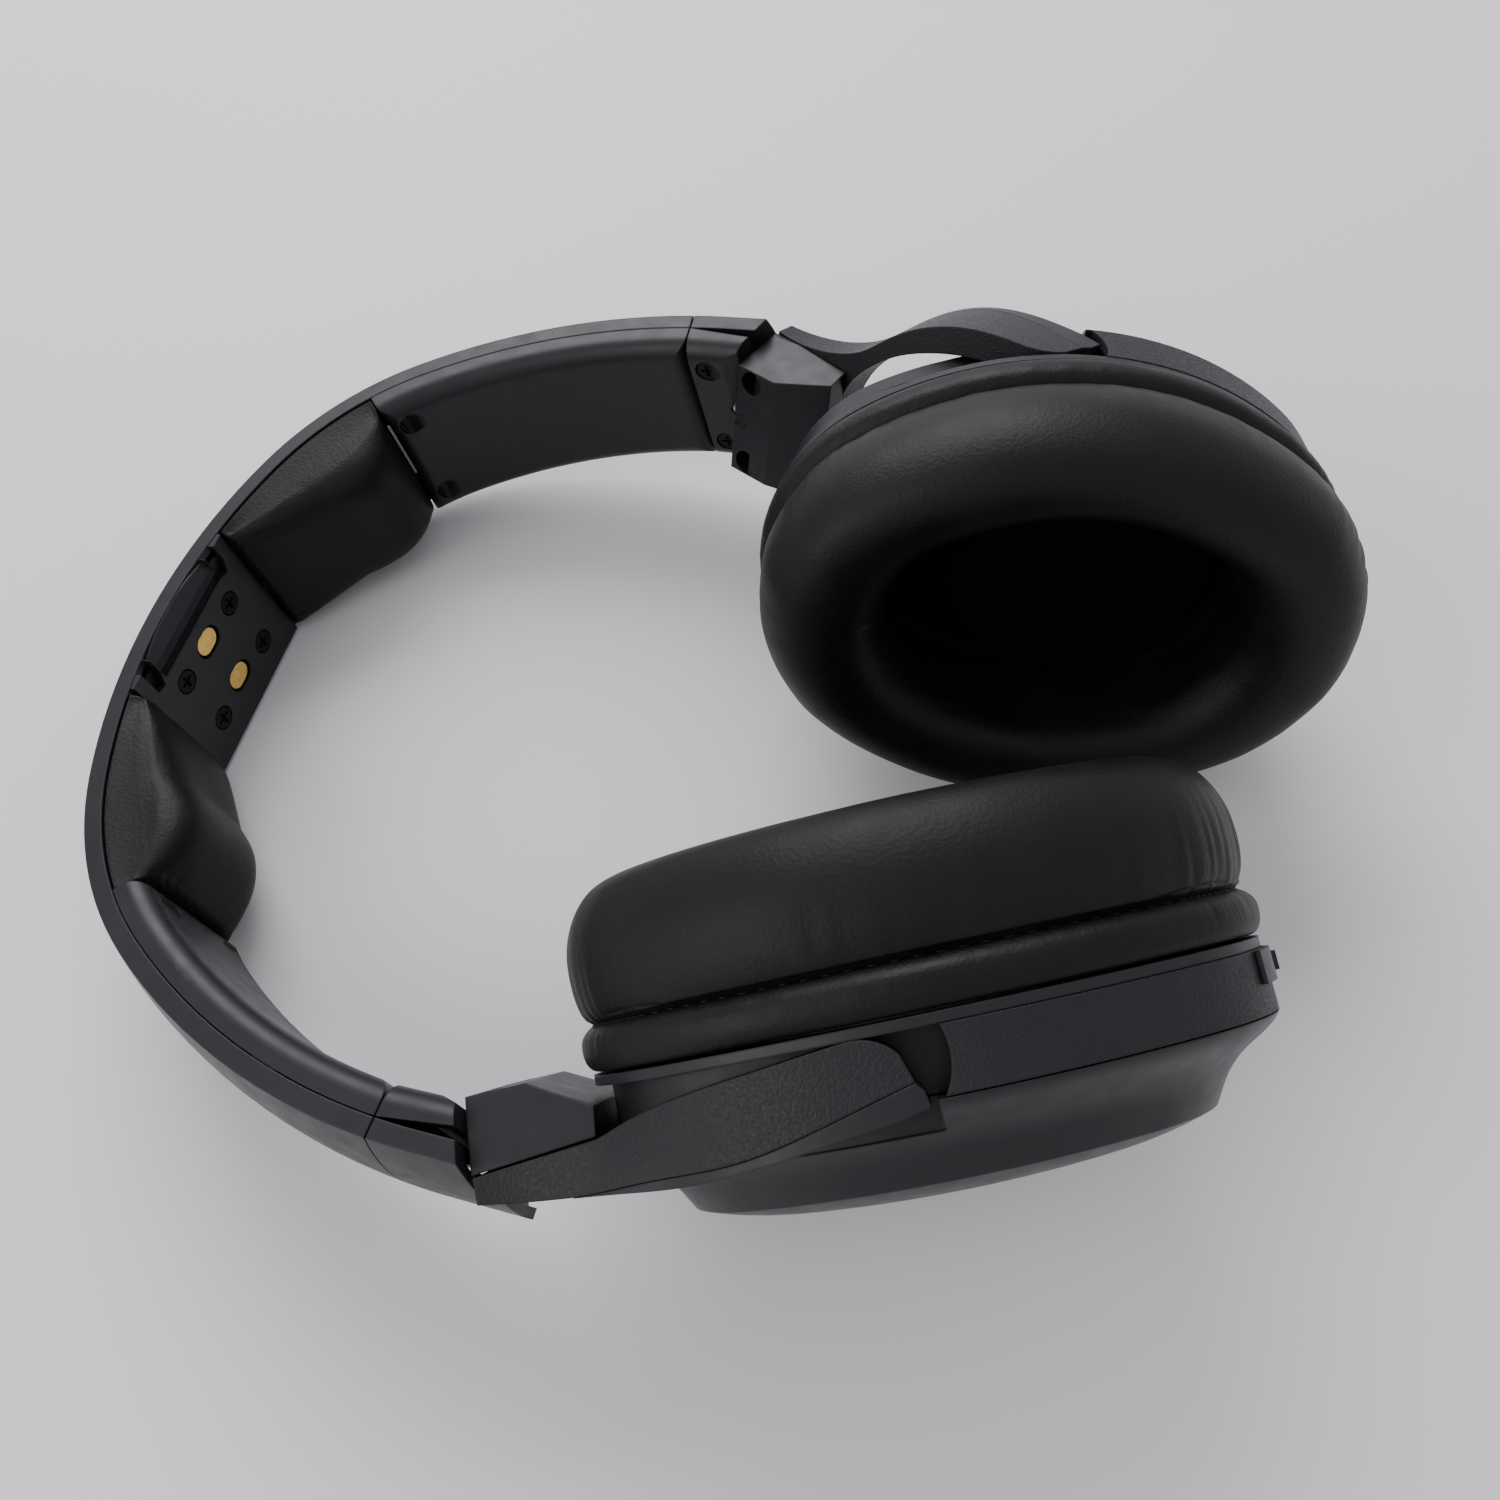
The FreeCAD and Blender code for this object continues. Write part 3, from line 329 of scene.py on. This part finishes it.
def smooth_profile(knots, count):
    """Even samples of a smooth closed curve through knots."""
    n = len(knots)
    samples = []
    for k in range(count):
        u = k * n / count
        i = int(u)
        f = u - i
        p0, p1, p2, p3 = [Vector(knots[(i + o) % n]) for o in (-1, 0, 1, 2)]
        a = p1 * 2
        b = (p2 - p0) * f
        c = (p0 * 2 - p1 * 5 + p2 * 4 - p3) * f * f
        d = (p1 * 3 - p0 - p2 * 3 + p3) * f * f * f
        samples.append((a + b + c + d) * 0.5)
    return samples


def wave(x, seed):
    """Smooth noise of one value, from -1 to 1."""
    return noise.noise(Vector((x, seed * 7.31, seed * 1.7)))


CLOTH_SCALE = 20.0
CLOTH_FRAMES = 20
CUSHION_REACH = 0.6 * MM
PAD_REACH = 0.8 * MM
CUSHION_GRID = (320, 60)
SKIRT_GRID = (320, 24)
PAD_GRID = (72, 90)


def settle(piece, held, reach):
    """Swell a piece as cloth under pressure, moving no point further than reach."""
    scene = bpy.context.scene
    start = [v.co.copy() for v in piece.data.vertices]
    for vertex in piece.data.vertices:
        vertex.co *= CLOTH_SCALE
    group = piece.vertex_groups.new(name="held")
    group.add(held, 1.0, "REPLACE")
    modifier = piece.modifiers.new("swell", "CLOTH")
    cloth = modifier.settings
    cloth.quality = 3
    cloth.mass = 0.01
    cloth.air_damping = 2.0
    cloth.tension_stiffness = 2.0
    cloth.compression_stiffness = 2.0
    cloth.shear_stiffness = 0.7
    cloth.bending_stiffness = 0.05
    cloth.vertex_group_mass = "held"
    cloth.use_pressure = True
    cloth.uniform_pressure_force = 4.0
    cloth.effector_weights.gravity = 0.0
    modifier.collision_settings.use_collision = False
    for step in range(1, CLOTH_FRAMES + 1):
        scene.frame_set(step)
    posed = piece.evaluated_get(bpy.context.evaluated_depsgraph_get())
    ended = [v.co / CLOTH_SCALE for v in posed.data.vertices]
    piece.modifiers.remove(modifier)
    piece.vertex_groups.remove(group)
    scene.frame_set(1)
    for vertex, before, after in zip(piece.data.vertices, start, ended):
        move = after - before
        if move.length > reach:
            move *= reach / move.length
        vertex.co = before + move


def refine(piece):
    """Round a piece off with one level of subdivision."""
    smooth = piece.modifiers.new("smooth", "SUBSURF")
    smooth.levels = 1
    smooth.render_levels = 1


# One turn of the cushion's section: (x, share of the way in, outward offset).
CUSHION_KNOTS = [
    (-11.5, 0.0, -1.6),
    (-12.9, 0.0, -0.2),
    (-16.5, 0.0, 0.75),
    (-22.0, 0.0, 0.8),
    (-26.5, 0.05, 0.3),
    (-29.8, 0.17, 0.0),
    (-31.5, 0.36, 0.0),
    (-31.7, 0.56, 0.0),
    (-30.4, 0.75, 0.0),
    (-27.8, 0.89, 0.0),
    (-24.0, 0.965, 0.0),
    (-18.0, 0.985, 0.0),
    (-11.0, 0.98, 0.0),
    (-9.2, 0.90, 0.0),
    (-9.0, 0.5, 0.0),
    (-9.6, 0.1, -2.0),
]


def cushion_point(knot, angle):
    """Point of the cushion in its cup's frame."""
    outer, normal = oval_point(*LEATHER_OUTSIDE, angle)
    inner, _ = oval_point(OPENING[0], OPENING[1], angle)
    point = outer.lerp(inner, knot[1]) + normal * knot[2]
    return Vector((knot[0], point.y, point.z)), normal


def make_cushion(side):
    around, along = CUSHION_GRID
    knots = smooth_profile(CUSHION_KNOTS, along)
    place = WORLD @ cup_frame(side)
    points = []
    for knot in knots:
        for i in range(around):
            angle = 2 * math.pi * i / around
            point, normal = cushion_point(knot, angle)
            points.append(place @ (point + normal * folds(side, knot, angle)))
    faces = ring_faces(around, along, True)
    piece = new_piece("cushion_" + side, points, faces, MATERIALS["leatherette"])
    held = [k for k in range(around * along) if knots[k // around][0] > SEAM - 1.2]
    settle(piece, held, CUSHION_REACH)
    refine(piece)
    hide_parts("ear_cushion_" + side)
    return piece


def folds(side, knot, angle):
    """How far the leather stands in or out of its smooth section, in mm."""
    x, share, _ = knot
    if x > -11.3:
        return 0.0
    if share > 0.3:
        return broad_folds(side, angle, share)
    up = min(max((x - SEAM) / -CUSHION, 0.0), 1.0)
    fine = wave(angle * 24.0 + 0.9 * up, 3.0) * 0.34 + wave(angle * 39.0, 9.0) * 0.2
    reach = 0.25 + 0.55 * (0.5 + 0.5 * wave(angle * 31.0, 5.0))
    fade = max(0.0, 1.0 - up / reach)
    total = fine * fade
    lower = max(0.0, -math.cos(angle)) ** 5
    deep = max(0.0, wave(angle * 24.0 + 0.6 * up, 15.0)) ** 0.7
    total -= lower * 1.5 * deep * math.sin(math.pi * min(1.0, up * 1.25 + 0.05))
    return total + broad_folds(side, angle, 0.3) * min(1.0, up * 2)


def broad_folds(side, angle, share):
    """Long shallow dents, where the foam has been pressed."""
    seed = 51.0 if side == "left" else 57.0
    return wave(angle * 2.2, seed) * 0.35 + wave(angle * 6.0 + share * 2.0, seed + 4.0) * 0.12


SKIRT_KNOTS = [
    (-11.3, 0.0, -1.9),
    (-10.6, 0.0, -0.5),
    (-9.3, 0.0, 0.45),
    (-7.2, 0.0, 0.55),
    (-5.7, 0.0, 0.0),
    (-4.95, 0.0, -1.2),
    (-6.0, 0.0, -3.5),
    (-10.5, 0.0, -3.5),
]


def make_skirt(side):
    """The rolled band of leather between the cushion's seam and the cup."""
    around, along = SKIRT_GRID
    knots = smooth_profile(SKIRT_KNOTS, along)
    place = WORLD @ cup_frame(side)
    points = []
    for x, share, offset in knots:
        for i in range(around):
            angle = 2 * math.pi * i / around
            point, normal = cushion_point((x, share, offset), angle)
            near_seam = max(0.0, min(1.0, (-6.2 - x) / 3.0))
            pucker = wave(angle * 36.0, 21.0) * 0.2 * near_seam
            points.append(place @ (point + normal * pucker))
    faces = ring_faces(around, along, True)
    piece = new_piece("skirt_" + side, points, faces, MATERIALS["leatherette"])
    refine(piece)
    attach(piece, "cup_" + side)
    return piece


PAD_SPAN = (10.7, 45.62)
PAD_BASE = 3.3
PAD_HALF = BAND_HALF - 0.35


def pad_height(v):
    """Height of a pad above its base, v from the contact plate to the far end."""
    ends = 2.6 + 3.4 * v
    body = max(0.0, math.sin(math.pi * v)) ** 0.6
    lean = 1.0 + 0.12 * math.sin(math.pi * (v - 0.5))
    return ends + 10.2 * body * lean


def pad_section(u, height):
    """Share across and height of one point round a pad's section."""
    turn_round = 2 * math.pi * u
    c, s = math.cos(turn_round), math.sin(turn_round)
    side = math.copysign(abs(s) ** 0.42, s)
    if c < 0:
        return side, 0.0
    return side * (1 - 0.04 * c), height * c ** 0.5


def pad_wrinkle(v, z, lift):
    """Gathered leather: folds that fan out from both ends of a pad."""
    near_end = math.exp(-v * 9.0) + math.exp(-(1 - v) * 9.0)
    fan = wave(z * 0.75 + 8.0 * v, 31.0) * 0.7 + wave(z * 1.9, 37.0) * 0.3
    broad = wave(v * 3.0 + z * 0.08, 41.0) * 0.3
    return lift * (0.7 * fan * near_end + broad * math.sin(math.pi * v))


def make_headband_pad(side):
    """Crowned pad, gathered at both ends, on the inside of the headband."""
    across, along = PAD_GRID
    place = WORLD @ band_frame(side)
    points = []
    for j in range(along):
        v = j / (along - 1)
        angle = PAD_SPAN[0] + (PAD_SPAN[1] - PAD_SPAN[0]) * v
        height = pad_height(v)
        for i in range(across):
            share, rise = pad_section(i / across, height)
            z = PAD_HALF * share
            lift = rise / height
            point = arch_point(PAD_BASE + rise + pad_wrinkle(v, z, lift), angle)
            points.append(place @ Vector((point.x, point.y, z)))
    faces = ring_faces(across, along)
    faces.append(tuple(range(across))[::-1])
    faces.append(tuple((along - 1) * across + i for i in range(across)))
    piece = new_piece("band_pad_" + side, points, faces, MATERIALS["leatherette"])
    base = [k for k in range(across * along) if pad_section(k % across / across, 1.0)[1] < 0.12]
    ends = list(range(across)) + list(range((along - 1) * across, along * across))
    settle(piece, base + ends, PAD_REACH)
    refine(piece)
    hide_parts("headband_pad_" + side)
    return piece


STITCHES = 128
STITCH_LENGTH = 1.5
STITCH_RADIUS = 0.16
STITCH_SIDES = 6
STITCH_STEPS = 6


def stitch_ring(side):
    """Small tight stitches that pucker the seam under the cushion."""
    place = WORLD @ cup_frame(side)
    points, faces = [], []
    for k in range(STITCHES):
        angle = 2 * math.pi * (k + 0.5) / STITCHES
        outer, normal = oval_point(*LEATHER_OUTSIDE, angle)
        tangent = Vector((0.0, -normal.z, normal.y))
        middle = Vector((SEAM - 0.15, outer.y, outer.z)) - normal * 1.8
        first = len(points)
        for i in range(STITCH_STEPS + 1):
            f = i / STITCH_STEPS - 0.5
            radius = STITCH_RADIUS * math.sqrt(max(0.05, 1 - (2 * f) ** 2))
            spot = middle + tangent * (f * STITCH_LENGTH) + normal * (0.25 - f * f)
            for j in range(STITCH_SIDES):
                u = 2 * math.pi * j / STITCH_SIDES
                out = normal * (radius * math.cos(u)) + Vector((radius * math.sin(u), 0, 0))
                points.append(place @ (spot + out))
        for i in range(STITCH_STEPS):
            for j in range(STITCH_SIDES):
                a = first + i * STITCH_SIDES + j
                b = first + i * STITCH_SIDES + (j + 1) % STITCH_SIDES
                faces.append((a, b, b + STITCH_SIDES, a + STITCH_SIDES))
    piece = new_piece("stitches_" + side, points, faces, MATERIALS["leatherette"])
    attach(piece, "cup_" + side)
    return piece


# ---------------------------------------------------------------- stage

def make_stage():
    s = Shader("table")
    mottle = s.noise(3.0, 3.0)
    colour = s.ramp(mottle, [(0.3, (0.72, 0.705, 0.73)), (0.7, (0.75, 0.735, 0.76))])
    material = s.set(Base_Color=colour, Roughness=0.55)
    reach = 3.0
    corners = [(-reach, -reach, 0), (reach, -reach, 0), (reach, reach, 0), (-reach, reach, 0)]
    floor = new_piece("table", corners, [(0, 1, 2, 3)], material)


def make_camera():
    data = bpy.data.cameras.new("camera")
    data.sensor_width = 36.0
    data.lens = 32.56
    data.clip_start = 0.01
    data.dof.use_dof = False
    camera = bpy.data.objects.new("camera", data)
    place = Vector((-99.19, -79.54, 188.82))
    forward = Vector((0.43555, 0.29543, -0.85030))
    right = Vector((0.27010, -0.94398, -0.18962))
    up = right.cross(forward)
    turned = lie.to_3x3()
    columns = [turned @ right, turned @ up, turned @ -forward]
    rotation = Matrix(columns).transposed().to_4x4()
    camera.matrix_world = Matrix.Translation(WORLD @ place) @ rotation
    bpy.context.scene.collection.objects.link(camera)
    bpy.context.scene.camera = camera


def area_light(name, place, size, power, colour):
    """Rectangular light aimed at the middle of the object."""
    data = bpy.data.lights.new(name, "AREA")
    data.shape = "RECTANGLE"
    data.size, data.size_y = size
    data.energy = power
    data.color = colour
    light = bpy.data.objects.new(name, data)
    light.location = place
    aim = -Vector(place)
    light.rotation_euler = aim.to_track_quat("-Z", "Y").to_euler()
    bpy.context.scene.collection.objects.link(light)


def make_lights():
    world = bpy.data.worlds.new("room")
    world.use_nodes = True
    back = world.node_tree.nodes["Background"]
    back.inputs["Color"].default_value = (0.93, 0.93, 0.96, 1.0)
    back.inputs["Strength"].default_value = 0.8
    bpy.context.scene.world = world
    area_light("window", (0.9, 0.5, 0.9), (0.9, 0.9), 17.0, (0.96, 0.97, 1.0))
    area_light("fill", (-0.7, 0.8, 0.8), (0.9, 0.9), 7.0, (1.0, 0.98, 0.96))


make_stage()
make_camera()
make_lights()
dress_nodes()
for hand in ("left", "right"):
    cushion = make_cushion(hand)
    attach(cushion, "cup_" + hand)
    make_skirt(hand)
    stitch_ring(hand)
    band_pad = make_headband_pad(hand)
    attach(band_pad, "headband")
